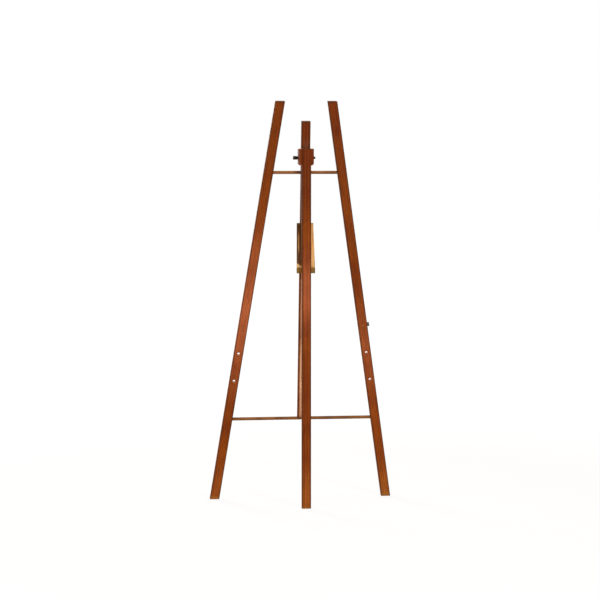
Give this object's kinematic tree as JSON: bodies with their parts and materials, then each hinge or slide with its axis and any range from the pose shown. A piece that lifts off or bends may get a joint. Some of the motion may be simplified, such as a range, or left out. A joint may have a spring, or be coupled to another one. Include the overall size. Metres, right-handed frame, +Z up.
{
  "type": "wooden artist easel",
  "caption": "Folding wooden easel: splayed front legs joined by round rungs and a centre mast, with a hinged rear leg, a swinging brace board and removable canvas pegs.",
  "frame": {"origin": "floor level, at the centre of the easel's box", "axes": "+Z up, +Y towards the display side where the canvas stands, -Y towards the rear leg, +X to the right seen from behind"},
  "size_m": [0.6924, 0.2368, 1.5016],
  "materials": {
    "stained_wood": "mahogany stain under satin varnish",
    "dowel_wood": "golden brown stain, satin",
    "brace_wood": "golden varnish",
    "peg_wood": "plain turned wood, satin",
    "black_steel": "blackened",
    "grey_steel": "dull",
    "brass": "aged"
  },
  "bodies": {
    "front_frame": {"left_leg": "stained_wood", "right_leg": "stained_wood", "upper_rung": "dowel_wood", "lower_rung": "dowel_wood", "mast": "stained_wood", "rung_brads": "grey_steel", "mast_rung_pin": "grey_steel", "mast_foot_screw": "grey_steel", "hinge_mast_leaf": "brass", "mast_leaf_screws": "brass", "hinge_pin": "brass"},
    "rear_leg": {"rear_leg": "stained_wood", "left_cheek": "stained_wood", "right_cheek": "stained_wood", "cheek_screws": "grey_steel", "hinge_bolt": "black_steel", "left_washer": "black_steel", "right_washer": "black_steel"},
    "brace": {"brace_board": "brace_wood", "brace_batten": "brace_wood", "batten_pins": "grey_steel", "hinge_board_leaf": "brass", "board_leaf_screws": "brass"},
    "clamp_knob": {"clamp_knob": "black_steel"},
    "left_peg": {"left_peg": "peg_wood"},
    "right_peg": {"right_peg": "peg_wood"},
    "peg_lock_screw": {"peg_lock_screw": "grey_steel"}
  },
  "joints": [
    {"name": "rear_leg_fold", "type": "hinge", "parent": "front_frame", "child": "rear_leg", "pos_m": [0, -0.0745, 1.29428], "axis": [-1, 0, 0], "range_deg": [-8, 17]},
    {"name": "brace_swing", "type": "hinge", "parent": "front_frame", "child": "brace", "pos_m": [0, -0.05477, 1.05469], "axis": [-1, 0, 0], "range_deg": [-18.39, 39.03]},
    {"name": "clamp_knob_turn", "type": "hinge", "parent": "rear_leg", "child": "clamp_knob", "pos_m": [0, -0.0745, 1.29428], "axis": [-1, 0, 0], "range_deg": [0, 270]},
    {"name": "left_peg_pull", "type": "slide", "parent": "front_frame", "child": "left_peg", "axis": [0, 0.9903, 0.1392], "range_m": [0, 0.03]},
    {"name": "right_peg_pull", "type": "slide", "parent": "front_frame", "child": "right_peg", "axis": [0, 0.9903, 0.1392], "range_m": [0, 0.03]},
    {"name": "peg_lock_turn", "type": "hinge", "parent": "front_frame", "child": "peg_lock_screw", "pos_m": [0.22469, 0.01345, 0.66843], "axis": [0.9884, -0.0212, 0.1505], "range_deg": [0, 270]}
  ],
  "couplings": [
    {"joint": "brace_swing", "follows": "rear_leg_fold", "ratio": 2.293}
  ]
}
